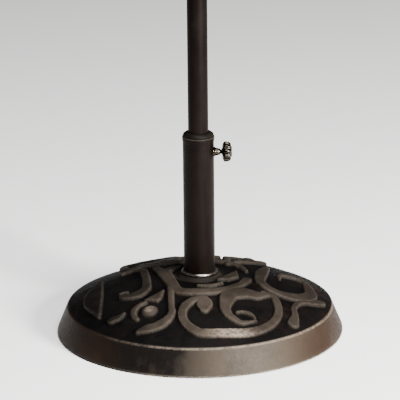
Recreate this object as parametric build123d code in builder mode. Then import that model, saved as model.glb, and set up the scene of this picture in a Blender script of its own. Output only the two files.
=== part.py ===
"""Parasol base: a round cast-iron foot with raised scrollwork, a socket tube and a clamped pole.

Millimetres. +Z is up, and the origin is the centre of the floor under the base.
"""

import os
from math import cos, hypot, radians, sin, sqrt

from build123d import *

os.makedirs("parts", exist_ok=True)

# --- Casting: rim, dome and hub ---
BASE_R = 250.0  # outer edge of the rim's foot
RIM_TOP_R = 231.0  # where the flared rim meets the dome
RIM_FOOT_Z = 2.0  # the rim hangs this far above the floor
RIM_TOP_Z = 48.0
RIM_WALL = 9.0  # measured level
FOOT_ROUND, RIM_ROUND = 1.5, 2.5
DOME_RISE = 55.0
DOME_WALL = 7.0
DOME_R = (RIM_TOP_R**2 + DOME_RISE**2) / (2 * DOME_RISE)  # sphere of the dome's ground
DOME_CENTRE_Z = RIM_TOP_Z + DOME_RISE - DOME_R
RELIEF = 6.0  # height of the scroll bands over the ground
HUB_R = 43.0
HUB_FOOT_R, HUB_FOOT_Z = 41.0, 54.0
BOSS_TOP_R, BOSS_TOP_Z = 33.0, 105.0
BOSS_FOOT_R, BOSS_FOOT_Z = 38.5, 101.0
GROOVE_FLOOR_Z, GROOVE_DRAFT, BOSS_DRAFT = 98.5, 1.5, 0.5
SOCKET_FLOOR_Z = 66.0
RIB = 8.0  # thickness of the four ribs under the dome
RIB_END_R, RIB_END_Z = 240.0, 14.0
RIB_INNER_R, RIB_DROP = 37.0, 2.0
RIB_ANGLES = (45, 135, 225, 315)

# --- Feet ---
PAD_CIRCLE_R = 228.0
PAD_R, PAD_H = 12.0, 4.0
PAD_BOSS_R, PAD_BOSS_TOP_Z = 14.0, 18.0
PAD_SCREW_R, PAD_SCREW_TOP_Z = 2.1, 14.0
PAD_HEAD_R, PAD_HEAD_Z, PAD_HEAD_H = 4.5, 1.2, 2.2
PAD_HEAD_GAP, PAD_HOLE_SPARE = 0.3, 1.0
PAD_CHAMFER, PAD_HEAD_CHAMFER = 0.8, 0.6
DRIVE_L, DRIVE_W = 5.4, 1.0  # the cross in the pad screws' heads

# --- Socket tube and its anchor ---
TUBE_R, TUBE_WALL = 27.0, 2.5
TUBE_BORE_R = TUBE_R - TUBE_WALL
TUBE_FOOT_Z, TUBE_TOP_Z = 66.2, 353.0
LIP_R, LIP_H, LIP_ROUND = 27.9, 4.0, 0.8
PLUG_H = 22.0
BOLT_R, BOLT_TIP_Z, BOLT_CHAMFER = 6.0, 82.0, 1.0
BOLT_HOLE_R, WASHER_BORE_R, LOCK_WASHER_BORE_R = 6.6, 6.5, 6.3
BOLT_HEAD_FLATS, BOLT_HEAD_H = 18.0, 7.5
WASHER_R, WASHER_H = 18.0, 2.5
LOCK_WASHER_R, LOCK_WASHER_H, LOCK_WASHER_GAP = 10.5, 3.0, 1.5
HEAD_TOP_Z = HUB_FOOT_Z - WASHER_H - LOCK_WASHER_H
FOOT_RING_R, FOOT_RING_H, FOOT_RING_ROUND = 31.6, 6.0, 2.2

# --- Pole and its guides ---
POLE_R, POLE_WALL = 17.5, 1.6
POLE_FOOT_Z, POLE_TOP_Z = 92.0, 700.0
GUIDE_R = POLE_R + 0.3
SLIP = 0.05  # radial clearance of pieces that are pressed or screwed together
SPIGOT_R, SPIGOT_WALL = 15.85, 1.5
PIN_CHAMFER = 1.0
PIN_R = 15.4  # the spigot is drawn in where it stands clear of the pole
SPIGOT_FOOT_Z, PIN_FOOT_Z, SPIGOT_TOP_Z = 630.0, 701.0, 760.0
PLUG_STEM_H = 18.0  # how far the foot plug reaches up inside the pole
PLUG_CHAMFER = 1.0
PLUG_GAP = 0.3  # between the foot plug and the plug under it
RIVET_Z, RIVET_R, RIVET_HOLE_R = 662.0, 2.4, 2.5
RIVET_TAIL, RIVET_HEAD_R, RIVET_HEAD_H, RIVET_HEAD_TAPER = 1.0, 4.2, 1.2, 30
BUSH_FOOT_Z, BUSH_H, BUSH_LEAD = 120.0, 25.0, 1.5
COLLAR_FOOT_Z, COLLAR_TOP_Z = 334.0, 360.5
COLLAR_SKIRT_R, COLLAR_SEAT_R, COLLAR_R = TUBE_BORE_R - 0.3, 25.3, 26.4
COLLAR_SEAT_Z, COLLAR_BRIM_Z, COLLAR_BRIM_H = TUBE_TOP_Z + 0.1, 354.6, 1.0
COLLAR_LEAD = 0.5
COLLAR_CROWN_R, COLLAR_CROWN_H = COLLAR_R - 2.6, 2.9
COLLAR_SPLIT = 2.5  # width of the slot that lets the collar close on the pole

# --- Thumb screw, along +X ---
SCREW_Z = 324.0
SCREW_AXIS = Axis((0, 0, SCREW_Z), (1, 0, 0))
STUD_R = 4.0
NUT_R, NUT_SHOULDER_X, NUT_NOSE_R, NUT_END_X = 7.5, 29.0, 4.9, 38.0
TIP_R, TIP_X, TIP_L = 3.8, POLE_R + 0.3, 6.0
TIP_PIN_R, TIP_PIN_L, TIP_PIN_SPARE = 2.5, 3.0, 0.2
TIP_GAP = 0.1  # between the tip and the stud's shoulder
SCREW_HOLE_R, THREAD_BORE_R = 4.7, STUD_R + SLIP
STUD_END_X = 50.0
KNOB_NECK_X, KNOB_BACK_X, KNOB_FACE_X = 39.7, 43.5, 56.0
KNOB_NECK_R, KNOB_R, KNOB_FACE_R = 4.9, 18.0, 15.5
KNOB_LOBES, KNOB_FLUTE_R, KNOB_FLUTE_AT = 10, 2.6, KNOB_R + 0.87
KNOB_SHOULDER_R, KNOB_CREST_X = KNOB_R - 1, KNOB_BACK_X + 3
KNOB_CAP_R, KNOB_CAP_H, KNOB_CAP_DEPTH, KNOB_CAP_ROUND = 9.0, 1.8, 1.5, 1.26
KNOB_CAP_GAP, KNOB_BORE_R = 0.2, STUD_R + 0.02


def arc(centre, radius, start, end, widths):
    """A round stretch of a band: points on a circle from one angle to another, with their widths."""
    steps = max(2, round(abs(end - start) / ARC_STEP))
    points = []
    for i in range(steps + 1):
        share = i / steps
        angle = radians(start + (end - start) * share)
        place = share * (len(widths) - 1)
        k = min(int(place), len(widths) - 2)
        width = widths[k] + (widths[k + 1] - widths[k]) * (place - k)
        points.append((centre[0] + radius * cos(angle), centre[1] + radius * sin(angle), width))
    return points


# --- Scrollwork: points along the middle of each raised band, as x, y and the band's width ---
# The bands in PAIRED_BANDS come twice, the second time turned half a turn round the hub.
ARC_STEP = 20  # degrees between the points of a round stretch
BALL_AT, BALL_R = (-86, -131), 15
HUB_AT = (0, 0)
SWEEP = [
    *arc((20, -152), 50, 110, 255, (12, 18, 16, 15, 17, 18)),
    *arc((52, -114), 82, 275, 375, (18, 16, 14, 14)),
    (126, -77, 12), (108, -68, 10),
]
DROP = [(8, -108, 14), (8, -124, 28), (8, -141, 16)]
OVAL = [
    (112, -76, 12), *arc((82, -120), 40, 70, 145, (24, 32, 30)),
    *arc((82, -132), 39, 175, 255, (20, 15, 10)), (95, -160, 4),
]
OVAL_CURL = arc((74, -160), 20, 125, 20, (5, 7, 5))
HOOK = [(-50, -60, 12), *arc((-87, -138), 40, 15, -95, (11, 14, 20, 18)), (-105, -182, 8)]
RING = arc(BALL_AT, 27, 105, 220, (7, 12, 8))
FISHTAIL = [(209, -40, 15), *arc((213, -104), 53, 110, 195, (11, 10, 12)), (158, -142, 20)]
PAIRED_BANDS = (SWEEP, DROP, OVAL, OVAL_CURL, HOOK, RING)
HUB_FRONT = [(-75, 40, 14), (-60, 0, 24), (-50, -40, 22), *arc(HUB_AT, 86, 245, 343, (19, 20, 14, 16))]
HUB_BACK = arc(HUB_AT, 84, 15, 137, (7, 17, 17, 8))
HUB_CURL = arc((8, -20), 43, 255, 315, (5, 9, 5))
LEFT_VOLUTE = [
    *arc((-122, 30), 26, 125, 0, (6, 13, 14)), (-92, -10, 14),
    *arc((-118, -46), 27, 0, -125, (16, 22, 11)),
]
LEFT_TIP = arc((-130, -68), 15, 115, 65, (5, 8, 5))
LEFT_OUTER = arc((60, -35), 244, 162, 198, (8, 26, 34, 26, 6))
RIGHT_VOLUTE = [
    (117, 65, 12), (108, 25, 22), *arc((148, -14), 44, 185, 355, (18, 16, 26, 22)),
    (187, 20, 14), (178, 48, 7),
]
RIGHT_EYE = arc((160, 24), 22, 200, 30, (5, 12, 5))
SPUR = [(-128, -123, 4), (-138, -131, 12), (-150, -133, 15)]
SINGLE_BANDS = (
    HUB_FRONT, HUB_BACK, HUB_CURL, LEFT_VOLUTE, LEFT_TIP, LEFT_OUTER, RIGHT_VOLUTE, RIGHT_EYE,
    FISHTAIL, SPUR,
)
# Flat leaves with sharp corners, as x and y; each comes twice too.
HUB_LEAF = [(30, -38), (65, 14), (68, -20), (50, -36)]
LEAF = [(-95, -98), (-60, -70), (-65, -100), (-72, -108)]
LEAVES = (HUB_LEAF, LEAF)


def dome_z(radius, depth=0.0):
    """Height of the dome at a radius, at a depth below its ground."""
    return DOME_CENTRE_Z + sqrt((DOME_R - depth) ** 2 - radius**2)


def turned_plane(angle):
    """Upright plane through the Z axis, with its own x pointing outwards at an angle."""
    a = radians(angle)
    return Plane(origin=(0, 0, 0), x_dir=(cos(a), sin(a), 0), z_dir=(sin(a), -cos(a), 0))


def band_sides(points):
    """The two long sides and the two rounded ends of a band, from its middle line."""
    left, right, ends = [], [], []
    for i, (x, y, width) in enumerate(points):
        before, after = points[max(i - 1, 0)], points[min(i + 1, len(points) - 1)]
        along_x, along_y = after[0] - before[0], after[1] - before[1]
        length = hypot(along_x, along_y)
        half_x, half_y = along_x / length * width / 2, along_y / length * width / 2
        left.append((x - half_y, y + half_x))
        right.append((x + half_y, y - half_x))
        ends.append((x - half_x, y - half_y) if i == 0 else (x + half_x, y + half_y))
    return left, right, ends[0], ends[-1]


def raised_band(points):
    """One band of the scrollwork, as a face of the sketch that is open."""
    left, right, first, last = band_sides(points)
    with BuildLine() as outline:
        Spline(*left)
        ThreePointArc(left[-1], last, right[-1])
        Spline(*right)
        ThreePointArc(right[0], first, left[0])
    make_face(outline.edges())


def washer_part(outer_r, inner_r, foot_z, height):
    """A flat ring on the Z axis."""
    with BuildPart() as ring:
        with BuildSketch(Plane.XY.offset(foot_z)):
            Circle(outer_r)
            Circle(inner_r, mode=Mode.SUBTRACT)
        extrude(amount=height)
    return ring


# --- Scrollwork, cut to the dome's shape; it becomes part of the casting ---
with BuildPart() as scrollwork:
    with BuildSketch(Plane.XY.offset(HUB_FOOT_Z / 2)):
        for band in SINGLE_BANDS:
            raised_band(band)
        for band in PAIRED_BANDS:
            raised_band(band)
            raised_band([(-x, -y, width) for x, y, width in band])
        for sign in (1, -1):
            for leaf in LEAVES:
                with BuildLine() as leaf_outline:
                    Polyline(*[(sign * x, sign * y) for x, y in leaf], close=True)
                make_face(leaf_outline.edges())
            with Locations((sign * BALL_AT[0], sign * BALL_AT[1])):
                Circle(BALL_R)
    extrude(amount=DOME_RISE + RIM_TOP_Z)
    with BuildSketch(Plane.XZ):
        with BuildLine():
            Polyline(
                (0, dome_z(0, -RELIEF)),
                (0, dome_z(0, DOME_WALL / 2)),
            )
            ThreePointArc(
                (0, dome_z(0, DOME_WALL / 2)),
                (RIM_TOP_R / 2, dome_z(RIM_TOP_R / 2, DOME_WALL / 2)),
                (RIM_TOP_R, dome_z(RIM_TOP_R, DOME_WALL / 2)),
            )
            Line(
                (RIM_TOP_R, dome_z(RIM_TOP_R, DOME_WALL / 2)),
                (RIM_TOP_R, dome_z(RIM_TOP_R, -RELIEF)),
            )
            ThreePointArc(
                (RIM_TOP_R, dome_z(RIM_TOP_R, -RELIEF)),
                (RIM_TOP_R / 2, dome_z(RIM_TOP_R / 2, -RELIEF)),
                (0, dome_z(0, -RELIEF)),
            )
        make_face()
    revolve(axis=Axis.Z, mode=Mode.INTERSECT)

# --- Casting ---
with BuildPart() as base_casting:
    with BuildSketch(Plane.XZ):
        with BuildLine():
            inner_r = RIM_TOP_R - RIM_WALL
            Polyline(
                (inner_r, dome_z(inner_r, DOME_WALL)),
                (BASE_R - RIM_WALL, RIM_FOOT_Z),
                (BASE_R, RIM_FOOT_Z),
                (RIM_TOP_R, RIM_TOP_Z),
            )
            ThreePointArc(
                (RIM_TOP_R, RIM_TOP_Z),
                (RIM_TOP_R / 2, dome_z(RIM_TOP_R / 2)),
                (HUB_R, dome_z(HUB_R)),
            )
            Polyline(
                (HUB_R, dome_z(HUB_R)),
                (HUB_R - GROOVE_DRAFT, GROOVE_FLOOR_Z),
                (BOSS_FOOT_R + BOSS_DRAFT, GROOVE_FLOOR_Z),
                (BOSS_FOOT_R, BOSS_FOOT_Z),
                (BOSS_TOP_R, BOSS_TOP_Z),
                (TUBE_R + SLIP, BOSS_TOP_Z),
                (TUBE_R + SLIP, SOCKET_FLOOR_Z),
                (BOLT_HOLE_R, SOCKET_FLOOR_Z),
                (BOLT_HOLE_R, HUB_FOOT_Z),
                (HUB_FOOT_R, HUB_FOOT_Z),
                (HUB_R, dome_z(HUB_R, DOME_WALL)),
            )
            ThreePointArc(
                (HUB_R, dome_z(HUB_R, DOME_WALL)),
                (RIM_TOP_R / 2, dome_z(RIM_TOP_R / 2, DOME_WALL)),
                (inner_r, dome_z(inner_r, DOME_WALL)),
            )
        make_face()
    revolve(axis=Axis.Z)
    foot_edge = base_casting.edges().filter_by(GeomType.CIRCLE).group_by(Axis.Z)[0].sort_by(
        SortBy.RADIUS
    )[-1]
    rim_edge = base_casting.edges().filter_by(GeomType.CIRCLE).sort_by(
        lambda edge: abs(edge.radius - RIM_TOP_R) + abs(edge.center().Z - RIM_TOP_Z)
    )[0]
    fillet(foot_edge, radius=FOOT_ROUND)
    fillet(rim_edge, radius=RIM_ROUND)
    for angle in RIB_ANGLES:
        mid_depth = DOME_WALL / 2
        with BuildSketch(turned_plane(angle)):
            with BuildLine():
                outside_r = RIM_TOP_R - RIM_WALL / 2
                Polyline(
                    (outside_r, dome_z(outside_r, mid_depth)),
                    (RIB_END_R, RIB_END_Z),
                    (RIB_INNER_R, HUB_FOOT_Z),
                    (RIB_INNER_R, dome_z(RIB_INNER_R, mid_depth) - RIB_DROP),
                )
                ThreePointArc(
                    (RIB_INNER_R, dome_z(RIB_INNER_R, mid_depth) - RIB_DROP),
                    (RIM_TOP_R / 2, dome_z(RIM_TOP_R / 2, mid_depth)),
                    (outside_r, dome_z(outside_r, mid_depth)),
                )
            make_face()
        extrude(amount=RIB / 2, both=True)
    with BuildSketch(Plane.XY.offset(PAD_H)):
        with PolarLocations(PAD_CIRCLE_R, len(RIB_ANGLES), start_angle=RIB_ANGLES[0]):
            Circle(PAD_BOSS_R)
    extrude(amount=PAD_BOSS_TOP_Z - PAD_H)
    with BuildSketch(Plane.XY.offset(PAD_H)):
        with PolarLocations(PAD_CIRCLE_R, len(RIB_ANGLES), start_angle=RIB_ANGLES[0]):
            Circle(PAD_SCREW_R + SLIP)
    extrude(amount=PAD_SCREW_TOP_Z - PAD_H + PAD_HOLE_SPARE, mode=Mode.SUBTRACT)
    add(scrollwork.part)
base_casting.part.label = "base_casting"
export_step(base_casting.part, "parts/base_casting.step")

# --- Feet: four rubber pads, each held by a screw from below ---
with BuildPart() as foot_pads:
    with BuildSketch():
        with PolarLocations(PAD_CIRCLE_R, len(RIB_ANGLES), start_angle=RIB_ANGLES[0]):
            Circle(PAD_R)
            Circle(PAD_SCREW_R + 2 * SLIP, mode=Mode.SUBTRACT)
    extrude(amount=PAD_H)
    with BuildSketch():
        with PolarLocations(PAD_CIRCLE_R, len(RIB_ANGLES), start_angle=RIB_ANGLES[0]):
            Circle(PAD_HEAD_R + PAD_HEAD_GAP)
    extrude(amount=PAD_HEAD_Z + PAD_HEAD_H, mode=Mode.SUBTRACT)
    sole_edges = foot_pads.edges().group_by(Axis.Z)[0].filter_by(GeomType.CIRCLE)
    chamfer(sole_edges.group_by(SortBy.RADIUS)[-1], PAD_CHAMFER)
foot_pads.part.label = "foot_pads"
export_step(foot_pads.part, "parts/foot_pads.step")

with BuildPart() as foot_pad_screws:
    with BuildSketch(Plane.XY.offset(PAD_HEAD_Z)):
        with PolarLocations(PAD_CIRCLE_R, len(RIB_ANGLES), start_angle=RIB_ANGLES[0]):
            Circle(PAD_HEAD_R)
    extrude(amount=PAD_HEAD_H)
    with BuildSketch(Plane.XY.offset(PAD_HEAD_Z + PAD_HEAD_H)):
        with PolarLocations(PAD_CIRCLE_R, len(RIB_ANGLES), start_angle=RIB_ANGLES[0]):
            Circle(PAD_SCREW_R)
    extrude(amount=PAD_SCREW_TOP_Z - PAD_HEAD_Z - PAD_HEAD_H)
    chamfer(foot_pad_screws.edges().group_by(Axis.Z)[0], PAD_HEAD_CHAMFER)
    with BuildSketch(Plane.XY.offset(PAD_HEAD_Z)):
        with PolarLocations(PAD_CIRCLE_R, len(RIB_ANGLES), start_angle=RIB_ANGLES[0]):
            Rectangle(DRIVE_L, DRIVE_W)
            Rectangle(DRIVE_W, DRIVE_L)
    extrude(amount=PAD_HEAD_H / 2, mode=Mode.SUBTRACT)
foot_pad_screws.part.label = "foot_pad_screws"
export_step(foot_pad_screws.part, "parts/foot_pad_screws.step")

# --- Socket tube with its rolled lip and the hole for the thumb screw ---
with BuildPart() as socket_tube:
    with BuildSketch(Plane.XZ):
        with BuildLine():
            Polyline(
                (TUBE_BORE_R, TUBE_FOOT_Z),
                (TUBE_R, TUBE_FOOT_Z),
                (TUBE_R, TUBE_TOP_Z - 2 * LIP_H),
                (LIP_R, TUBE_TOP_Z - LIP_H),
                (LIP_R, TUBE_TOP_Z),
                (TUBE_BORE_R, TUBE_TOP_Z),
                close=True,
            )
        make_face()
    revolve(axis=Axis.Z)
    lip_edge = socket_tube.edges().group_by(Axis.Z)[-1].sort_by(SortBy.RADIUS)[-1]
    fillet(lip_edge, radius=2 * LIP_ROUND)
    with BuildSketch(Plane.YZ.offset(TUBE_R / 2)):
        with Locations((0, SCREW_Z)):
            Circle(SCREW_HOLE_R)
    extrude(amount=TUBE_R, mode=Mode.SUBTRACT)
socket_tube.part.label = "socket_tube"
export_step(socket_tube.part, "parts/socket_tube.step")

with BuildPart() as foot_collar:
    with BuildSketch(Plane.XZ) as ring_section:
        with BuildLine():
            Polyline(
                (TUBE_R + SLIP, BOSS_TOP_Z),
                (FOOT_RING_R, BOSS_TOP_Z),
                (FOOT_RING_R, BOSS_TOP_Z + FOOT_RING_H),
                (TUBE_R + SLIP, BOSS_TOP_Z + FOOT_RING_H),
                close=True,
            )
        make_face()
        fillet(ring_section.vertices().group_by(Axis.X)[-1], radius=FOOT_RING_ROUND)
    revolve(axis=Axis.Z)
foot_collar.part.label = "foot_collar"
export_step(foot_collar.part, "parts/foot_collar.step")

# --- Anchor: the tube's foot is drawn down into the hub by one bolt ---
tube_end_plug = washer_part(TUBE_BORE_R - SLIP, BOLT_R + SLIP, TUBE_FOOT_Z, PLUG_H)
tube_end_plug.part.label = "tube_end_plug"
export_step(tube_end_plug.part, "parts/tube_end_plug.step")

anchor_washer = washer_part(WASHER_R, WASHER_BORE_R, HUB_FOOT_Z - WASHER_H, WASHER_H)
anchor_washer.part.label = "anchor_washer"
export_step(anchor_washer.part, "parts/anchor_washer.step")

with BuildPart() as lock_washer:
    with BuildSketch(Plane.XY.offset(HEAD_TOP_Z)):
        Circle(LOCK_WASHER_R)
        Circle(LOCK_WASHER_BORE_R, mode=Mode.SUBTRACT)
        with Locations((LOCK_WASHER_R, 0)):
            Rectangle(LOCK_WASHER_R, LOCK_WASHER_GAP, mode=Mode.SUBTRACT)
    extrude(amount=LOCK_WASHER_H)
lock_washer.part.label = "lock_washer"
export_step(lock_washer.part, "parts/lock_washer.step")

with BuildPart() as anchor_bolt:
    with BuildSketch(Plane.XY.offset(HEAD_TOP_Z - BOLT_HEAD_H)):
        RegularPolygon(BOLT_HEAD_FLATS / 2, 6, major_radius=False)
    extrude(amount=BOLT_HEAD_H)
    with BuildSketch(Plane.XY.offset(HEAD_TOP_Z)):
        Circle(BOLT_R)
    extrude(amount=BOLT_TIP_Z - HEAD_TOP_Z)
    chamfer(anchor_bolt.edges().group_by(Axis.Z)[-1], BOLT_CHAMFER)
anchor_bolt.part.label = "anchor_bolt"
export_step(anchor_bolt.part, "parts/anchor_bolt.step")

# --- Guides that centre the pole in the tube ---
with BuildPart() as centering_bush:
    with BuildSketch(Plane.XY.offset(BUSH_FOOT_Z)):
        Circle(TUBE_BORE_R - 2 * SLIP)
        Circle(GUIDE_R, mode=Mode.SUBTRACT)
    extrude(amount=BUSH_H)
    bore_edges = centering_bush.edges().filter_by(GeomType.CIRCLE).group_by(SortBy.RADIUS)[0]
    chamfer(bore_edges, BUSH_LEAD)
centering_bush.part.label = "centering_bush"
export_step(centering_bush.part, "parts/centering_bush.step")

with BuildPart() as reducer_collar:
    with BuildSketch(Plane.XZ):
        with BuildLine():
            Polyline(
                (GUIDE_R + COLLAR_LEAD, COLLAR_TOP_Z),
                (GUIDE_R, COLLAR_TOP_Z - COLLAR_LEAD),
                (GUIDE_R, COLLAR_FOOT_Z),
                (COLLAR_SKIRT_R - 2 * COLLAR_LEAD, COLLAR_FOOT_Z),
                (COLLAR_SKIRT_R, COLLAR_FOOT_Z + 4 * COLLAR_LEAD),
                (COLLAR_SKIRT_R, COLLAR_SEAT_Z),
                (COLLAR_SEAT_R, COLLAR_SEAT_Z),
                (COLLAR_SEAT_R, COLLAR_BRIM_Z),
                (COLLAR_R, COLLAR_BRIM_Z),
                (COLLAR_R, COLLAR_BRIM_Z + COLLAR_BRIM_H),
            )
            ThreePointArc(
                (COLLAR_R, COLLAR_BRIM_Z + COLLAR_BRIM_H),
                (COLLAR_CROWN_R, COLLAR_BRIM_Z + COLLAR_BRIM_H + COLLAR_CROWN_H),
                (GUIDE_R + COLLAR_LEAD, COLLAR_TOP_Z),
            )
        make_face()
    revolve(axis=Axis.Z)
    with BuildSketch(Plane.XY.offset(COLLAR_FOOT_Z)):
        with Locations((COLLAR_R, 0)):
            Rectangle(2 * (COLLAR_R - GUIDE_R / 2), COLLAR_SPLIT)
    extrude(amount=COLLAR_TOP_Z - COLLAR_FOOT_Z, mode=Mode.SUBTRACT)
reducer_collar.part.label = "reducer_collar"
export_step(reducer_collar.part, "parts/reducer_collar.step")

# --- Lower pole section, its foot plug and the spigot for the next section ---
with BuildPart() as pole_tube:
    with BuildSketch(Plane.XY.offset(POLE_FOOT_Z)):
        Circle(POLE_R)
        Circle(POLE_R - POLE_WALL, mode=Mode.SUBTRACT)
    extrude(amount=POLE_TOP_Z - POLE_FOOT_Z)
    with BuildSketch(Plane.XZ):
        with Locations((0, RIVET_Z)):
            Circle(RIVET_HOLE_R)
    extrude(amount=2 * POLE_R, both=True, mode=Mode.SUBTRACT)
pole_tube.part.label = "pole_tube"
export_step(pole_tube.part, "parts/pole_tube.step")

with BuildPart() as pole_foot_plug:
    with BuildSketch(Plane.XY.offset(TUBE_FOOT_Z + PLUG_H + PLUG_GAP)):
        Circle(POLE_R)
    extrude(amount=POLE_FOOT_Z - TUBE_FOOT_Z - PLUG_H - PLUG_GAP)
    chamfer(pole_foot_plug.edges().group_by(Axis.Z)[0], PLUG_CHAMFER)
    with BuildSketch(Plane.XY.offset(POLE_FOOT_Z)):
        Circle(POLE_R - POLE_WALL - SLIP)
    extrude(amount=PLUG_STEM_H)
pole_foot_plug.part.label = "pole_foot_plug"
export_step(pole_foot_plug.part, "parts/pole_foot_plug.step")

with BuildPart() as joint_spigot:
    with BuildSketch(Plane.XZ):
        with BuildLine():
            Polyline(
                (SPIGOT_R - SPIGOT_WALL, SPIGOT_FOOT_Z),
                (SPIGOT_R, SPIGOT_FOOT_Z),
                (SPIGOT_R, POLE_TOP_Z),
                (PIN_R, PIN_FOOT_Z),
                (PIN_R, SPIGOT_TOP_Z - PIN_CHAMFER),
                (PIN_R - PIN_CHAMFER, SPIGOT_TOP_Z),
                (PIN_R - SPIGOT_WALL, SPIGOT_TOP_Z),
                (PIN_R - SPIGOT_WALL, PIN_FOOT_Z),
                (SPIGOT_R - SPIGOT_WALL, POLE_TOP_Z),
                close=True,
            )
        make_face()
    revolve(axis=Axis.Z)
    with BuildSketch(Plane.XZ):
        with Locations((0, RIVET_Z)):
            Circle(RIVET_HOLE_R)
    extrude(amount=2 * POLE_R, both=True, mode=Mode.SUBTRACT)
joint_spigot.part.label = "joint_spigot"
export_step(joint_spigot.part, "parts/joint_spigot.step")

with BuildPart() as spigot_rivets:
    for side in (turned_plane(0), turned_plane(180)):
        with BuildSketch(side.offset(SPIGOT_R - SPIGOT_WALL - RIVET_TAIL)):
            with Locations((0, RIVET_Z)):
                Circle(RIVET_R)
        extrude(amount=POLE_R - SPIGOT_R + SPIGOT_WALL + RIVET_TAIL)
        with BuildSketch(side.offset(POLE_R)):
            with Locations((0, RIVET_Z)):
                Circle(RIVET_HEAD_R)
        extrude(amount=RIVET_HEAD_H, taper=RIVET_HEAD_TAPER)
spigot_rivets.part.label = "spigot_rivets"
export_step(spigot_rivets.part, "parts/spigot_rivets.step")

# --- Thumb screw: welded nut, stud, knob and the swivelling nylon tip ---
with BuildPart() as weld_nut:
    with BuildSketch(Plane.XY.offset(SCREW_Z)):
        with BuildLine():
            Polyline(
                (TUBE_BORE_R, THREAD_BORE_R),
                (TUBE_BORE_R, NUT_R),
                (NUT_SHOULDER_X, NUT_R),
                (NUT_END_X, NUT_NOSE_R),
                (NUT_END_X, THREAD_BORE_R),
                close=True,
            )
        make_face()
    revolve(axis=SCREW_AXIS)
    with BuildSketch(Plane.XY.offset(SCREW_Z - 2 * NUT_R)):
        Circle(TUBE_R + SLIP / 2)
    extrude(amount=4 * NUT_R, mode=Mode.SUBTRACT)
weld_nut.part.label = "weld_nut"
export_step(weld_nut.part, "parts/weld_nut.step")

with BuildPart() as thrust_pad:
    with BuildSketch(Plane.YZ.offset(TIP_X)):
        with Locations((0, SCREW_Z)):
            Circle(TIP_R)
    extrude(amount=TIP_L)
    with BuildSketch(Plane.YZ.offset(TIP_X + TIP_L)):
        with Locations((0, SCREW_Z)):
            Circle(TIP_PIN_R + SLIP)
    extrude(amount=-TIP_PIN_L - TIP_PIN_SPARE, mode=Mode.SUBTRACT)
thrust_pad.part.label = "thrust_pad"
export_step(thrust_pad.part, "parts/thrust_pad.step")

with BuildPart() as screw_stud:
    with BuildSketch(Plane.YZ.offset(TIP_X + TIP_L + TIP_GAP)):
        with Locations((0, SCREW_Z)):
            Circle(STUD_R)
    extrude(amount=STUD_END_X - TIP_X - TIP_L - TIP_GAP)
    with BuildSketch(Plane.YZ.offset(TIP_X + TIP_L - TIP_PIN_L)):
        with Locations((0, SCREW_Z)):
            Circle(TIP_PIN_R)
    extrude(amount=TIP_PIN_L + TIP_GAP)
screw_stud.part.label = "screw_stud"
export_step(screw_stud.part, "parts/screw_stud.step")

with BuildPart() as knob_body:
    with BuildSketch(Plane.XY.offset(SCREW_Z)):
        with BuildLine():
            Polyline(
                (STUD_END_X, 0),
                (STUD_END_X, KNOB_BORE_R),
                (KNOB_NECK_X, KNOB_BORE_R),
                (KNOB_NECK_X, KNOB_NECK_R),
                (KNOB_BACK_X, KNOB_SHOULDER_R),
            )
            ThreePointArc(
                (KNOB_BACK_X, KNOB_SHOULDER_R),
                (KNOB_CREST_X, KNOB_R),
                (KNOB_FACE_X, KNOB_FACE_R),
            )
            Polyline(
                (KNOB_FACE_X, KNOB_FACE_R),
                (KNOB_FACE_X, KNOB_CAP_R + KNOB_CAP_GAP),
                (KNOB_FACE_X - KNOB_CAP_DEPTH, KNOB_CAP_R + KNOB_CAP_GAP),
                (KNOB_FACE_X - KNOB_CAP_DEPTH, 0),
                (STUD_END_X, 0),
            )
        make_face()
    revolve(axis=SCREW_AXIS)
    with BuildSketch(Plane.YZ.offset(KNOB_NECK_X)):
        with Locations((0, SCREW_Z)):
            with PolarLocations(KNOB_FLUTE_AT, KNOB_LOBES):
                Circle(KNOB_FLUTE_R)
    extrude(amount=KNOB_FACE_X, mode=Mode.SUBTRACT)
knob_body.part.label = "knob_body"
export_step(knob_body.part, "parts/knob_body.step")

with BuildPart() as knob_cap:
    with BuildSketch(Plane.YZ.offset(KNOB_FACE_X - KNOB_CAP_DEPTH)):
        with Locations((0, SCREW_Z)):
            Circle(KNOB_CAP_R)
    extrude(amount=KNOB_CAP_DEPTH + KNOB_CAP_H)
    fillet(knob_cap.edges().group_by(Axis.X)[-1], radius=KNOB_CAP_ROUND)
knob_cap.part.label = "knob_cap"
export_step(knob_cap.part, "parts/knob_cap.step")
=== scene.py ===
"""Looks for the parasol base: a bronze-brown iron casting, a brown tube and pole and a nickel screw."""

from math import atan2, cos, pi, radians, sin, sqrt, tan

import bpy
import numpy as np
from mathutils import Matrix, Vector, noise


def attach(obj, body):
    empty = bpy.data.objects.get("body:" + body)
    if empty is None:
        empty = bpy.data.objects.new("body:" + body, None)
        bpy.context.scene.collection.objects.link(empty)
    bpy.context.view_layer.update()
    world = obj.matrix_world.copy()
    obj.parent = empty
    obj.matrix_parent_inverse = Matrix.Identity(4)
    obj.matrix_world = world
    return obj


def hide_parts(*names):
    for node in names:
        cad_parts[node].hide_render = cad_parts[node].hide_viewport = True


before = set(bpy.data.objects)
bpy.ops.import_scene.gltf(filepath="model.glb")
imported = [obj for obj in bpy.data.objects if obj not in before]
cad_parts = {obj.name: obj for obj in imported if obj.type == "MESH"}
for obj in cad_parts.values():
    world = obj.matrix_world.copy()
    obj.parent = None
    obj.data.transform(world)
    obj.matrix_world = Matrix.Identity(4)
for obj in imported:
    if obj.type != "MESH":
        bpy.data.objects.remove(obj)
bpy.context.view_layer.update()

MM = 0.001

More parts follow.
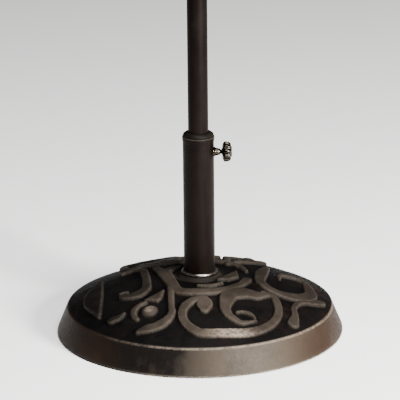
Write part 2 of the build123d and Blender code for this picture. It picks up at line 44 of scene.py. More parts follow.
# --- Sizes that the CAD model fixes, in mm ---
BASE_R, RIM_TOP_R = 250.0, 231.0
RIM_FOOT_Z, RIM_TOP_Z, RIM_WALL = 2.0, 48.0, 9.0
DOME_RISE, DOME_WALL, RELIEF = 55.0, 7.0, 6.0
DOME_R = (RIM_TOP_R**2 + DOME_RISE**2) / (2 * DOME_RISE)
DOME_CENTRE_Z = RIM_TOP_Z + DOME_RISE - DOME_R
HUB_R, HUB_FOOT_Z = 43.0, 54.0
TUBE_R, TUBE_BORE_R, TUBE_FOOT_Z, TUBE_TOP_Z = 27.0, 24.5, 66.2, 353.0
BOSS_TOP_R, BOSS_TOP_Z = 33.0, 105.0
FOOT_RING_R, FOOT_RING_H = 31.6, 6.0
SOCKET_R = TUBE_R + 0.05  # bore of the ring and of the casting's mouth
SOCKET_FLOOR_Z, BOLT_HOLE_R = 66.0, 6.6
POLE_R, POLE_BORE_R, POLE_FOOT_Z, POLE_TOP_Z = 17.5, 15.9, 92.0, 700.0
LIP_R = 27.9
SCREW_Z, SCREW_HOLE_R = 324.0, 4.7
RIB_ANGLES, RIB_THICKNESS = (45, 135, 225, 315), 8.0
RIB_END_R, RIB_END_Z = 240, 14.0
PAD_CIRCLE_R, PAD_H, PAD_HOLE_R = 228, 4.0, 2.15
PAD_BOSS_R, PAD_BOSS_TOP_Z = 14.0, 18.0
COLLAR_SLOT_HALF = 1.25

# --- Sizes that only this script's pieces have, in mm ---
LIP_FROM_Z, LIP_FOOT_Z = 342.0, 348.5  # where the tube begins to widen, and where its lip begins
DRILL_ENDS_X = (15.0, 35.0)
RIB_INNER_R, RIB_OUTER_R = 40, 226
RIB_DEPTH = 3.0  # how far the ribs' tops lie inside the dome's wall
STUD_BORE_R = 4.06  # the boss's thread, as a plain bore


def arc(centre, radius, start, end, widths):
    """A round stretch of a band: points on a circle from one angle to another, with their widths."""
    steps = max(2, round(abs(end - start) / ARC_STEP))
    points = []
    for i in range(steps + 1):
        share = i / steps
        angle = radians(start + (end - start) * share)
        place = share * (len(widths) - 1)
        k = min(int(place), len(widths) - 2)
        width = widths[k] + (widths[k + 1] - widths[k]) * (place - k)
        points.append((centre[0] + radius * cos(angle), centre[1] + radius * sin(angle), width))
    return points


# --- Scrollwork: points along the middle of each raised band, as x, y and the band's width ---
# The bands in PAIRED_BANDS come twice, the second time turned half a turn round the hub.
ARC_STEP = 20  # degrees between the points of a round stretch
BALL_AT, BALL_R = (-86, -131), 15
HUB_AT = (0, 0)
SWEEP = [
    *arc((20, -152), 50, 110, 255, (12, 18, 16, 15, 17, 18)),
    *arc((52, -114), 82, 275, 375, (18, 16, 14, 14)),
    (126, -77, 12), (108, -68, 10),
]
DROP = [(8, -108, 14), (8, -124, 28), (8, -141, 16)]
OVAL = [
    (112, -76, 12), *arc((82, -120), 40, 70, 145, (24, 32, 30)),
    *arc((82, -132), 39, 175, 255, (20, 15, 10)), (95, -160, 4),
]
OVAL_CURL = arc((74, -160), 20, 125, 20, (5, 7, 5))
HOOK = [(-50, -60, 12), *arc((-87, -138), 40, 15, -95, (11, 14, 20, 18)), (-105, -182, 8)]
RING = arc(BALL_AT, 27, 105, 220, (7, 12, 8))
FISHTAIL = [(209, -40, 15), *arc((213, -104), 53, 110, 195, (11, 10, 12)), (158, -142, 20)]
PAIRED_BANDS = (SWEEP, DROP, OVAL, OVAL_CURL, HOOK, RING)
HUB_FRONT = [(-75, 40, 14), (-60, 0, 24), (-50, -40, 22), *arc(HUB_AT, 86, 245, 343, (19, 20, 14, 16))]
HUB_BACK = arc(HUB_AT, 84, 15, 137, (7, 17, 17, 8))
HUB_CURL = arc((8, -20), 43, 255, 315, (5, 9, 5))
LEFT_VOLUTE = [
    *arc((-122, 30), 26, 125, 0, (6, 13, 14)), (-92, -10, 14),
    *arc((-118, -46), 27, 0, -125, (16, 22, 11)),
]
LEFT_TIP = arc((-130, -68), 15, 115, 65, (5, 8, 5))
LEFT_OUTER = arc((60, -35), 244, 162, 198, (8, 26, 34, 26, 6))
RIGHT_VOLUTE = [
    (117, 65, 12), (108, 25, 22), *arc((148, -14), 44, 185, 355, (18, 16, 26, 22)),
    (187, 20, 14), (178, 48, 7),
]
RIGHT_EYE = arc((160, 24), 22, 200, 30, (5, 12, 5))
SPUR = [(-128, -123, 4), (-138, -131, 12), (-150, -133, 15)]
SINGLE_BANDS = (
    HUB_FRONT, HUB_BACK, HUB_CURL, LEFT_VOLUTE, LEFT_TIP, LEFT_OUTER, RIGHT_VOLUTE, RIGHT_EYE,
    FISHTAIL, SPUR,
)
# Flat leaves with sharp corners, as x and y; each comes twice too.
HUB_LEAF = [(30, -38), (65, 14), (68, -20), (50, -36)]
LEAF = [(-95, -98), (-60, -70), (-65, -100), (-72, -108)]
LEAVES = (HUB_LEAF, LEAF)
BALL_H = 8.5  # height of the ball over the ground


# --- Mesh helpers ---
def new_piece(name, points_mm, faces, body, replaced, sharp=35):
    """A smooth mesh piece that rides on a body and stands for CAD nodes."""
    mesh = bpy.data.meshes.new(name)
    mesh.from_pydata([tuple(c * MM for c in p) for p in points_mm], [], faces)
    mesh.validate()
    mesh.polygons.foreach_set("use_smooth", [True] * len(mesh.polygons))
    mesh.set_sharp_from_angle(angle=radians(sharp))
    piece = bpy.data.objects.new(name, mesh)
    bpy.context.scene.collection.objects.link(piece)
    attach(piece, body)
    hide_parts(*replaced)
    return piece


def stitch(first, second):
    """Triangles between two closed rings of vertex numbers that start at the same angle."""
    a, b, na, nb = 0, 0, len(first), len(second)
    faces = []
    while a < na or b < nb:
        if b >= nb or (a < na and (a + 1) / na <= (b + 1) / nb):
            faces.append((first[(a + 1) % na], first[a % na], second[b % nb]))
            a += 1
        else:
            faces.append((first[a % na], second[b % nb], second[(b + 1) % nb]))
            b += 1
    return faces


def rounded(profile, radii):
    """A closed profile with its corners rounded; radii gives one radius for each corner."""
    out, n = [], len(profile)
    for i, radius in enumerate(radii):
        corner = Vector(profile[i])
        if radius == 0:
            out.append(tuple(corner))
            continue
        back = (Vector(profile[i - 1]) - corner).normalized()
        ahead = (Vector(profile[(i + 1) % n]) - corner).normalized()
        half = back.angle(ahead) / 2
        centre = corner + (back + ahead).normalized() * radius / sin(half)
        start = corner + back * radius / tan(half) - centre
        end = corner + ahead * radius / tan(half) - centre
        turn = atan2(start.x * end.y - start.y * end.x, start.dot(end))
        steps = max(3, int(abs(turn) / radians(15)) + 1)
        for k in range(steps + 1):
            out.append(tuple(centre + Matrix.Rotation(turn * k / steps, 2) @ start))
    return out


def lathe(profile, count=96):
    """Points and faces of a closed profile of (radius, height) turned about Z."""
    points, faces, n = [], [], len(profile)
    for radius, height in profile:
        for k in range(count):
            a = 2 * pi * k / count
            points.append((radius * cos(a), radius * sin(a), height))
    for i in range(n):
        j = (i + 1) % n
        for k in range(count):
            m = (k + 1) % count
            faces.append((i * count + k, i * count + m, j * count + m, j * count + k))
    return points, faces


def along_x(points, height=SCREW_Z):
    """Turns points made round the Z axis so that their axis is the thumb screw's."""
    return [(z, x, y + height) for x, y, z in points]


# --- Materials ---
def shader(name):
    """A material with its node tree, its Principled node and a function that adds nodes."""
    material = bpy.data.materials.new(name)
    material.use_nodes = True
    tree = material.node_tree
    principled = tree.nodes["Principled BSDF"]

    def add(kind, inputs=None, **settings):
        node = tree.nodes.new(kind)
        for key, value in settings.items():
            setattr(node, key, value)
        for key, value in (inputs or {}).items():
            if isinstance(value, bpy.types.NodeSocket):
                tree.links.new(value, node.inputs[key])
            else:
                node.inputs[key].default_value = value
        return node

    def link(value, key):
        tree.links.new(value, principled.inputs[key])

    return material, principled, add, link


def rgb(r, g, b):
    """An opaque colour, from linear shares of red, green and blue."""
    return (r, g, b, 1.0)


def noise_at(add, scale, detail=3.0, rough=0.5, stretch=(1, 1, 1)):
    """Noise from 0 to 1 in the piece's own metres."""
    place = add("ShaderNodeTexCoord").outputs["Object"]
    if stretch != (1, 1, 1):
        place = add("ShaderNodeMapping", {"Vector": place, "Scale": stretch}).outputs[0]
    texture = add(
        "ShaderNodeTexNoise",
        {"Vector": place, "Scale": scale, "Detail": detail, "Roughness": rough},
    )
    return texture.outputs["Fac"]


def ramp(add, value, low, high, out_low=0.0, out_high=1.0):
    """A smooth step of a value."""
    node = add(
        "ShaderNodeMapRange",
        {"Value": value, "From Min": low, "From Max": high, "To Min": out_low, "To Max": out_high},
        interpolation_type="SMOOTHSTEP",
    )
    return node.outputs["Result"]


def mixed(add, factor, first, second):
    """One colour mixed into another."""
    node = add("ShaderNodeMix", {"Factor": factor}, data_type="RGBA", blend_type="MIX")
    for key, value in (("A", first), ("B", second)):
        socket = [s for s in node.inputs if s.name == key and s.type == "RGBA"][0]
        if isinstance(value, bpy.types.NodeSocket):
            node.id_data.links.new(value, socket)
        else:
            socket.default_value = value
    return [s for s in node.outputs if s.type == "RGBA"][0]


def maths(add, operation, first, second=0.0):
    """One step of arithmetic between node outputs or numbers."""
    node = add("ShaderNodeMath", operation=operation)
    for key, value in ((0, first), (1, second)):
        if isinstance(value, bpy.types.NodeSocket):
            node.id_data.links.new(value, node.inputs[key])
        else:
            node.inputs[key].default_value = value
    return node.outputs[0]


def bump(add, link, height, strength, distance):
    """Roughens a material by a height, with a distance in metres."""
    node = add("ShaderNodeBump", {"Height": height, "Strength": strength, "Distance": distance})
    link(node.outputs["Normal"], "Normal")


def attribute(add, name):
    """A share that the mesh holds at each of its points."""
    return add("ShaderNodeAttribute", attribute_name=name).outputs["Fac"]


def cast_iron_material():
    """Bronze-brown coated casting: dark in the ground, paler on the raised bands, with painted highlights
    and some wear.
    """
    material, principled, add, link = shader("bronze_cast_iron")
    blotch = noise_at(add, 14, 4, 0.6)
    fine = noise_at(add, 160, 5, 0.65)
    grit = noise_at(add, 700, 3, 0.6)
    raised, highlight_and_wear, rim = (attribute(add, key) for key in ("raised", "highlight_and_wear", "rim"))
    ground = mixed(add, ramp(add, blotch, 0.35, 0.65), GROUND_DARK, GROUND_LIGHT)
    band = mixed(add, ramp(add, blotch, 0.35, 0.68), BAND_DARK, BAND_LIGHT)
    # The raised share carries painted light as well, so bands away from the front right are painted darker.
    colour = mixed(add, raised, ground, band)
    # The rim gets a painted highlight ahead and to the right, both ends are tinted warmer, and rust comes in
    # patches.
    place = add("ShaderNodeSeparateXYZ", {"Vector": add("ShaderNodeTexCoord").outputs["Object"]})
    toward_highlight_x = maths(add, "MULTIPLY", place.outputs["X"], cos(RIM_HIGHLIGHT_AT))
    ahead = maths(add, "ADD", toward_highlight_x, maths(add, "MULTIPLY", place.outputs["Y"], sin(RIM_HIGHLIGHT_AT)))
    rim_highlight_and_mottle = maths(add, "ADD", ramp(add, ahead, 0.07, 0.22), ramp(add, blotch, 0.38, 0.66, -0.15, 0.15))
    rim_colour = mixed(add, rim_highlight_and_mottle, RIM_DARK, RIM_HIGHLIGHT)
    colour = mixed(add, rim, colour, rim_colour)
    side = ramp(add, maths(add, "ABSOLUTE", place.outputs["X"]), 0.11, 0.22)
    warm = maths(add, "MULTIPLY", maths(add, "MULTIPLY", side, rim), ramp(add, blotch, 0.25, 0.6, 0.4, 0.9))
    colour = mixed(add, warm, colour, RIM_WARM)
    rust = maths(add, "MULTIPLY", ramp(add, noise_at(add, 9, 5, 0.7), 0.56, 0.7), 0.4)
    colour = mixed(add, rust, colour, RUST)
    # A pale tint, mostly painted highlight and partly wear, where the mesh's edge share is high, broken up
    # by noise.
    edge_highlight_and_wear = maths(add, "MULTIPLY", ramp(add, fine, 0.34, 0.62, 0.2, 1.0), highlight_and_wear)
    colour = mixed(add, edge_highlight_and_wear, colour, HIGHLIGHT_WEAR_TINT)
    link(colour, "Base Color")
    rough = ramp(add, fine, 0.25, 0.75, 0.44, 0.62)
    rough = maths(add, "SUBTRACT", rough, maths(add, "MULTIPLY", edge_highlight_and_wear, 0.12))
    link(rough, "Roughness")
    link(ramp(add, rim, 0.0, 1.0, 0.035, 0.07), "Specular IOR Level")
    principled.inputs["Metallic"].default_value = 0.0
    relief = maths(add, "ADD", fine, maths(add, "MULTIPLY", grit, 0.45))
    bump(add, link, relief, ramp(add, rim, 0.0, 1.0, 0.5, 0.28), 0.0011)
    return material


def coated_steel_material(name, dark, light, bright_from_z=None):
    """Satin powder coat: mottled and streaked, with fine orange peel, and paler above a height, partly wear
    and partly a painted highlight.
    """
    material, principled, add, link = shader(name)
    streak = noise_at(add, 90, 3, 0.5, (1, 1, 0.06))
    blotch = noise_at(add, 22, 4, 0.6)
    peel = noise_at(add, 900, 2, 0.5)
    blend = maths(add, "ADD", maths(add, "MULTIPLY", streak, 0.5), maths(add, "MULTIPLY", blotch, 0.5))
    colour = mixed(add, ramp(add, blend, 0.38, 0.62), dark, light)
    if bright_from_z:
        place = add("ShaderNodeSeparateXYZ", {"Vector": add("ShaderNodeTexCoord").outputs["Object"]})
        # Above the height the lip is painted paler, partly as wear and partly as a painted highlight line.
        lip_wear_and_highlight = ramp(add, place.outputs["Z"], bright_from_z, bright_from_z + 0.0015)
        lip_wear_and_highlight = maths(add, "MULTIPLY", lip_wear_and_highlight, ramp(add, blotch, 0.3, 0.6, 0.4, 1.0))
        colour = mixed(add, lip_wear_and_highlight, colour, LIP_WORN_AND_LIT)
    link(colour, "Base Color")
    link(ramp(add, blotch, 0.3, 0.7, 0.34, 0.46), "Roughness")
    principled.inputs["Metallic"].default_value = 0.0
    principled.inputs["Specular IOR Level"].default_value = 0.04
    bump(add, link, peel, 0.25, 0.0002)
    return material


def plated_material(name, dark, light, rough):
    """Plated or bare metal with handling marks."""
    material, principled, add, link = shader(name)
    cloud = noise_at(add, 120, 4, 0.6)
    scuff = noise_at(add, 720, 4, 0.7, (1, 1, 0.3))
    colour = mixed(add, ramp(add, cloud, 0.35, 0.65), dark, light)
    link(colour, "Base Color")
    link(ramp(add, scuff, 0.3, 0.75, *rough), "Roughness")
    principled.inputs["Metallic"].default_value = 1.0
    bump(add, link, scuff, 0.12, 0.0001)
    return material


def moulded_material(name, dark, light, rough=(0.42, 0.6)):
    """Moulded plastic or rubber with a fine eroded texture."""
    material, principled, add, link = shader(name)
    cloud = noise_at(add, 60, 4, 0.6)
    grain = noise_at(add, 1100, 2, 0.5)
    link(mixed(add, ramp(add, cloud, 0.35, 0.65), dark, light), "Base Color")
    link(ramp(add, grain, 0.3, 0.7, *rough), "Roughness")
    principled.inputs["Specular IOR Level"].default_value = 0.06
    bump(add, link, grain, 0.3, 0.0002)
    return material


GROUND_DARK, GROUND_LIGHT = rgb(0.0013, 0.0011, 0.0011), rgb(0.0032, 0.0027, 0.0026)
BAND_DARK, BAND_LIGHT = rgb(0.0175, 0.0138, 0.0108), rgb(0.0360, 0.0290, 0.0225)
# The rim's paler colour stands for a painted highlight on its front right; the darker one is its own colour.
RIM_DARK, RIM_HIGHLIGHT = rgb(0.0030, 0.0022, 0.0019), rgb(0.0420, 0.0335, 0.0250)
RIM_HIGHLIGHT_AT = radians(-35)
RIM_WARM = rgb(0.0150, 0.0075, 0.0040)
# RUST is real rust; the pale tint is for painted highlights and some wear on edges.
RUST, HIGHLIGHT_WEAR_TINT = rgb(0.0140, 0.0062, 0.0040), rgb(0.200, 0.165, 0.130)

iron = cast_iron_material()
COAT_DARK, COAT_LIGHT = rgb(0.0020, 0.0010, 0.0008), rgb(0.0040, 0.0025, 0.0018)
# The lip's paler colour is partly wear and partly a painted highlight.
LIP_WORN_AND_LIT, LIP_BRIGHT_FROM = rgb(0.022, 0.0185, 0.0155), 0.3505  # the height is in metres
brown_steel = coated_steel_material("brown_coat", COAT_DARK, COAT_LIGHT)
tube_coat = coated_steel_material("tube_coat", COAT_DARK, COAT_LIGHT, LIP_BRIGHT_FROM)
bright_bronze = plated_material("worn_bronze", rgb(0.06, 0.051, 0.044), rgb(0.30, 0.27, 0.24), (0.24, 0.4))
nickel = plated_material("dark_nickel", rgb(0.008, 0.007, 0.0055), rgb(0.038, 0.033, 0.026), (0.08, 0.2))
zinc = plated_material("zinc_plate", rgb(0.42, 0.42, 0.40), rgb(0.62, 0.62, 0.60), (0.22, 0.42))
bare_steel = plated_material("bare_steel", rgb(0.30, 0.30, 0.30), rgb(0.45, 0.45, 0.44), (0.3, 0.5))
black_plastic = moulded_material("black_guide", rgb(0.016, 0.016, 0.016), rgb(0.03, 0.03, 0.03))
collar_plastic = moulded_material("collar_plastic", rgb(0.0024, 0.0018, 0.0015), rgb(0.0050, 0.0040, 0.0032))
rubber = moulded_material("rubber", rgb(0.012, 0.012, 0.012), rgb(0.022, 0.022, 0.022), (0.6, 0.8))
natural_nylon = moulded_material("natural_nylon", rgb(0.62, 0.60, 0.54), rgb(0.74, 0.72, 0.66))


# --- Casting: relief over the dome ---
def spline_through(points, per_span=12):
    """Catmull-Rom points with width along a band's middle line."""
    p = np.array(points, float)
    p = np.vstack([2 * p[0] - p[1], p, 2 * p[-1] - p[-2]])
    out = []
    for a, b, c, d in zip(p[:-3], p[1:-2], p[2:-1], p[3:]):
        for t in np.arange(per_span) / per_span:
            cubic = (3 * b - a - 3 * c + d) * t**3 + (2 * a - 5 * b + 4 * c - d) * t**2
            out.append(b + ((c - a) * t + cubic) / 2)
    out.append(p[-2])
    return np.array(out)


def all_bands():
    """Every band of the scrollwork as a row of points with widths."""
    bands = [spline_through(band) for band in SINGLE_BANDS]
    for band in PAIRED_BANDS:
        line = spline_through(band)
        bands += [line, line * (-1, -1, 1)]
    return bands


def depth_inside_bands(x, y):
    """How far each point lies inside the nearest band, in mm; negative outside."""
    inside = np.full(len(x), -99.0)
    for line in all_bands():
        reach = line[:, 2].max() / 2 + EDGE_REACH
        low, high = line[:, :2].min(0) - reach, line[:, :2].max(0) + reach
        near = np.flatnonzero((x > low[0]) & (x < high[0]) & (y > low[1]) & (y < high[1]))
        for cx, cy, width in line:
            depth = width / 2 - np.hypot(x[near] - cx, y[near] - cy)
            inside[near] = np.maximum(inside[near], depth)
    return inside


def smooth(t):
    """A smooth step from 0 to 1."""
    t = np.clip(t, 0, 1)
    return t * t * (3 - 2 * t)


EDGE_REACH = 8.0  # the furthest from a band that its wall is worked out, mm
WALL_HALF = 0.75  # half the width of a band's wall as seen from above, mm
ROUND_TOP = 0.8  # how much of a band's height is its soft shoulder, mm
# Strength of the painted highlight along the bands' edges and on the front sweep.
EDGE_HIGHLIGHT, FRONT_HIGHLIGHT = 0.07, 0.8
# Where the painted light on the raised faces is strongest, and how far it spreads, mm.
LIGHT_FALLOFF_AT, LIGHT_FALLOFF_REACH = (-10, -170), 125


def depth_inside_leaf(x, y, corners):
    """How far each point lies inside a flat leaf, in mm; negative outside."""
    nearest, inside = np.full(len(x), 99.0), np.zeros(len(x), bool)
    for (ax, ay), (bx, by) in zip(corners, corners[1:] + corners[:1]):
        along_x, along_y = bx - ax, by - ay
        share = ((x - ax) * along_x + (y - ay) * along_y) / (along_x**2 + along_y**2)
        share = np.clip(share, 0, 1)
        nearest = np.minimum(nearest, np.hypot(x - ax - share * along_x, y - ay - share * along_y))
        if ay != by:
            crossed = (ay > y) != (by > y)
            inside ^= crossed & (x < ax + (y - ay) * along_x / along_y)
    return np.where(inside, nearest, -nearest)


def depth_inside(x, y):
    """How far each point lies inside the scrollwork, in mm; negative outside."""
    depth = depth_inside_bands(x, y)
    for leaf in LEAVES:
        for sign in (1, -1):
            corners = [(sign * cx, sign * cy) for cx, cy in leaf]
            depth = np.maximum(depth, depth_inside_leaf(x, y, corners))
    return depth


def pulled_to_outline(x, y):
    """The points with those beside an outline moved onto the top or the foot of its wall."""
    step = 0.2
    depth = depth_inside(x, y)
    slope_x = (depth_inside(x + step, y) - depth) / step
    slope_y = (depth_inside(x, y + step) - depth) / step
    steep = np.maximum(np.hypot(slope_x, slope_y), 0.5)
    move = np.where(depth >= 0, WALL_HALF, -WALL_HALF) - depth
    move = np.where(np.abs(depth) < WALL_HALF, move, 0) / steep
    return x + move * slope_x / steep, y + move * slope_y / steep


def front_sweep_highlight(x, y):
    """Where a painted highlight brightens the front sweep: a patch ahead of the hub, a little to the right.
    """
    return np.exp(-(((x - 55) / 32) ** 2) - ((y + 198) / 14) ** 2)


def painted_light_falloff(x, y):
    """How much painted light a raised face gets: most towards the front and to the right, where the key
    light falls.
    """
    away = np.hypot(x - LIGHT_FALLOFF_AT[0], y - LIGHT_FALLOFF_AT[1])
    return (0.5 + 0.5 * np.exp(-((away / LIGHT_FALLOFF_REACH) ** 2))) * (0.1 + 0.9 * smooth((x + 200) / 170))


def relief_at(x, y):
    """Height over the dome's ground, the share of raised face scaled by painted light, and the share of
    painted highlight, at each point.
    """
    depth = depth_inside(x, y)
    raised = smooth((depth + WALL_HALF) / (2 * WALL_HALF))
    height = (RELIEF - ROUND_TOP) * raised + ROUND_TOP * smooth((depth - WALL_HALF) / 3)
    # Painted highlight: a faint line along each band's edge and a bright patch on the front sweep.
    highlight_and_wear = EDGE_HIGHLIGHT * np.exp(-(((depth - 1.0) / 1.5) ** 2)) + FRONT_HIGHLIGHT * raised * front_sweep_highlight(x, y)
    for sign in (1, -1):
        off = np.hypot(x - sign * BALL_AT[0], y - sign * BALL_AT[1]) / BALL_R
        ball = np.sqrt(np.clip(1 - off**2, 0, 1)) * BALL_H
        raised = np.maximum(raised, smooth((1.05 - off) / 0.2))
        # Painted glint on the top of each ball.
        highlight_and_wear = np.where(off < 0.6, np.maximum(highlight_and_wear, 0.4 * (1 - off)), highlight_and_wear)
        height = np.maximum(height, ball)
    # The raised share is scaled by painted light, so the bands grow paler towards the front right.
    return height, raised * painted_light_falloff(x, y), highlight_and_wear


def ground_waves(points):
    """Slow unevenness of a sand casting, in mm."""
    return [
        0.55 * noise.noise(Vector(p) * 0.035) + 0.25 * noise.noise(Vector(p) * 0.11)
        for p in points
    ]


def ring(radius, height, count):
    """Points evenly spaced round the Z axis."""
    turns = np.arange(count) * 2 * pi / count
    return np.stack([radius * np.cos(turns), radius * np.sin(turns), np.full(count, height)], 1)


def dome_z(radius, depth=0.0):
    """Height of the dome at a radius, at a depth below its ground."""
    return DOME_CENTRE_Z + np.sqrt((DOME_R - depth) ** 2 - np.asarray(radius, float) ** 2)


# Direction in which the painted highlight on the rim's edges is strongest.
EDGE_HIGHLIGHT_AT = radians(-48)
DOME_RINGS = 155  # ring k of the dome has 6k points, which keeps them evenly spaced
RING_STEP = (RIM_TOP_R - 2.2) / DOME_RINGS
FIRST_RING = int(HUB_R / RING_STEP) + 1


def casting_outline():
    """Rings of the casting from the socket's mouth outwards, down the rim and back underneath."""
    hub_count, rim_count, under_count = 6 * FIRST_RING, 6 * DOME_RINGS, 240
    rings = [
        ring(r, z, hub_count)
        for r, z in (
            (SOCKET_R, 104.4), (SOCKET_R + 0.6, BOSS_TOP_Z), (BOSS_TOP_R - 0.9, BOSS_TOP_Z),
            (BOSS_TOP_R + 0.2, 104.5), (33.5, 103.3), (36.0, 101.7), (37.6, 100.4),
            (38.4, 99.2), (39.3, 98.6), (40.6, 98.6), (41.4, 99.3), (42.2, 100.5),
        )
    ]
    first_dome = len(rings)
    rings += [ring(k * RING_STEP, dome_z(k * RING_STEP), 6 * k) for k in range(FIRST_RING, DOME_RINGS + 1)]
    last_dome = len(rings)
    slope = (BASE_R - RIM_TOP_R) / (RIM_TOP_Z - RIM_FOOT_Z)
    rim_edge = [(RIM_TOP_R - 1.0, 48.15), (RIM_TOP_R + 0.1, 47.4), (RIM_TOP_R + 0.75, 46.2)]
    flare = [(RIM_TOP_R + slope * (RIM_TOP_Z - z), z) for z in np.linspace(44.0, 5.2, 7)]
    foot = [(248.9, 3.8), (248.9, 2.7), (248.3, 2.1), (247.4, RIM_FOOT_Z)]
    rings += [ring(r, z, rim_count) for r, z in rim_edge + flare + foot]
    last_rim = len(rings)
    inner_top_r = RIM_TOP_R - RIM_WALL
    inner_top_z = float(dome_z(inner_top_r, DOME_WALL))
    foot_r = BASE_R - RIM_WALL
    wall = [
        (foot_r + share * (inner_top_r - foot_r), RIM_FOOT_Z + share * (inner_top_z - RIM_FOOT_Z))
        for share in (0.0, 0.03, 0.2, 0.4, 0.6, 0.8, 0.95)
    ]
    under = [(r, float(dome_z(r, DOME_WALL))) for r in np.linspace(inner_top_r - 3, HUB_R + 4, 20)]
    hub = [
        (HUB_R + 1, 92.0), (HUB_R, 88.0), (HUB_R - 1.6, 58.0), (HUB_R - 3, HUB_FOOT_Z),
        (BOLT_HOLE_R, HUB_FOOT_Z),
    ]
    bore = [(BOLT_HOLE_R, SOCKET_FLOOR_Z), (SOCKET_R, SOCKET_FLOOR_Z)]
    rings += [ring(r, z, under_count) for r, z in wall + under + hub + bore]
    return rings, first_dome, last_dome, last_rim


def prism(corners, thickness_axis, thickness):
    """A closed plate: its outline and the way and amount it is thick."""
    offset = np.array(thickness_axis) * thickness / 2
    points = [np.array(c) - offset for c in corners] + [np.array(c) + offset for c in corners]
    n = len(corners)
    faces = [tuple(range(n)), tuple(reversed(range(n, 2 * n)))]
    faces += [((i + 1) % n, i, n + i, n + (i + 1) % n) for i in range(n)]
    return [tuple(p) for p in points], faces


def ribs_and_pad_bosses():
    """The four ribs beneath the dome, each with a boss for its rubber foot, as points and faces."""
    solids = []
    for angle in RIB_ANGLES:
        a = radians(angle)
        out, across = Vector((cos(a), sin(a), 0)), (sin(a), -cos(a), 0)
        top = [(r, float(dome_z(r, RIB_DEPTH))) for r in np.linspace(RIB_INNER_R, RIB_OUTER_R, 12)]
        below = [(RIB_END_R, RIB_END_Z), (RIB_OUTER_R, 17.0), (60, 49.5), (RIB_INNER_R, 55.0)]
        corners = [out * r + Vector((0, 0, h)) for r, h in top + below]
        solids.append(prism(corners, across, RIB_THICKNESS))
        boss_profile = [
            (PAD_HOLE_R, PAD_H), (PAD_BOSS_R - 0.6, PAD_H), (PAD_BOSS_R, PAD_H + 0.8),
            (PAD_BOSS_R, PAD_BOSS_TOP_Z), (PAD_HOLE_R, PAD_BOSS_TOP_Z),
        ]
        boss, boss_faces = lathe(boss_profile, 40)
        boss = [(px + PAD_CIRCLE_R * out.x, py + PAD_CIRCLE_R * out.y, pz) for px, py, pz in boss]
        solids.append((boss, boss_faces))
    return solids


def rim_noise(point):
    """Slow unevenness of the rim, as a share of its radius."""
    return 0.0011 * noise.noise(Vector(point) * 0.03) + 0.0004 * noise.noise(Vector(point) * 0.12)


def casting_piece():
    """The casting: relief over the dome, rim and hollow underside, with its ribs and bosses."""
    rings, first_dome, last_dome, last_rim = casting_outline()
    starts = np.cumsum([0] + [len(r) for r in rings])
    points = np.vstack(rings)
    x, y = points[:, 0], points[:, 1]
    low, high = starts[first_dome], starts[last_dome]
    dome = slice(low, high)
    flat_r = np.hypot(x[dome], y[dome])
    moved_x, moved_y = pulled_to_outline(x[dome], y[dome])
    keep = (flat_r < HUB_R + 2) | (flat_r > RIM_TOP_R - 4)
    moved_x, moved_y = np.where(keep, x[dome], moved_x), np.where(keep, y[dome], moved_y)
    radius = np.hypot(moved_x, moved_y)
    points[dome] = np.stack([moved_x, moved_y, dome_z(radius) + points[dome, 2] - dome_z(flat_r)], 1)
    height, raised, highlight_and_wear = relief_at(moved_x, moved_y)
    # The relief dies out at the rim's edge and at the groove round the hub.
    fade = smooth((RIM_TOP_R - 3 - radius) / 4) * smooth((radius - HUB_R) / 2.5)
    height, raised, highlight_and_wear = height * fade, raised * fade, highlight_and_wear * fade
    height = height + np.array(ground_waves(points[dome])) * fade
    normal = (points[dome] - (0, 0, DOME_CENTRE_Z)) / DOME_R
    points[dome] += normal * height[:, None]
    shares = np.zeros((3, len(points)))
    shares[0, dome], shares[1, dome] = raised, highlight_and_wear
    rim = slice(high, starts[last_rim])
    shares[2, rim] = 1
    points[rim, :2] *= 1 + np.array([[rim_noise(p)] for p in points[rim]])
    z = points[rim, 2]
    # The rim's edges carry a painted highlight, strongest towards the front right, with a faint wear all
    # along the top edge.
    ahead = smooth((points[rim] @ (cos(EDGE_HIGHLIGHT_AT), sin(EDGE_HIGHLIGHT_AT), 0) / BASE_R + 0.1) / 0.8)
    top_edge = np.exp(-(((z - 46.8) / 1.2) ** 2))
    foot_edge = np.exp(-(((z - 3) / 1.2) ** 2))
    shares[1, rim] = (0.02 + 0.5 * ahead) * top_edge + 0.45 * ahead * foot_edge
    shares[0, :low] = 0.35
    faces = []
    for k in range(len(rings) - 1):
        faces += stitch(range(starts[k], starts[k + 1]), range(starts[k + 1], starts[k + 2]))
    faces += stitch(range(starts[-2], starts[-1]), range(starts[0], starts[1]))
    points = [tuple(p) for p in points]
    for new_points, new_faces in ribs_and_pad_bosses():
        n = len(points)
        points += new_points
        faces += [tuple(i + n for i in face) for face in new_faces]
    piece = new_piece("scroll_casting", points, faces, "base", ["base_casting"], 60)
    for name, values in zip(("raised", "highlight_and_wear", "rim"), shares):
        layer = piece.data.attributes.new(name, "FLOAT", "POINT")
        whole = np.zeros(len(points), np.float32)
        whole[: len(values)] = values
        layer.data.foreach_set("value", whole)
    piece.data.materials.append(iron)


# --- Turned pieces: tube, ring, collar, pole ---
def turned_piece(name, profile, radii, body, replaced, material, count=128):
    """A closed profile turned about the Z axis, with its corners rounded."""
    points, faces = lathe(rounded(profile, radii), count)
    piece = new_piece(name, points, faces, body, replaced)
    piece.data.materials.append(material)
    return piece


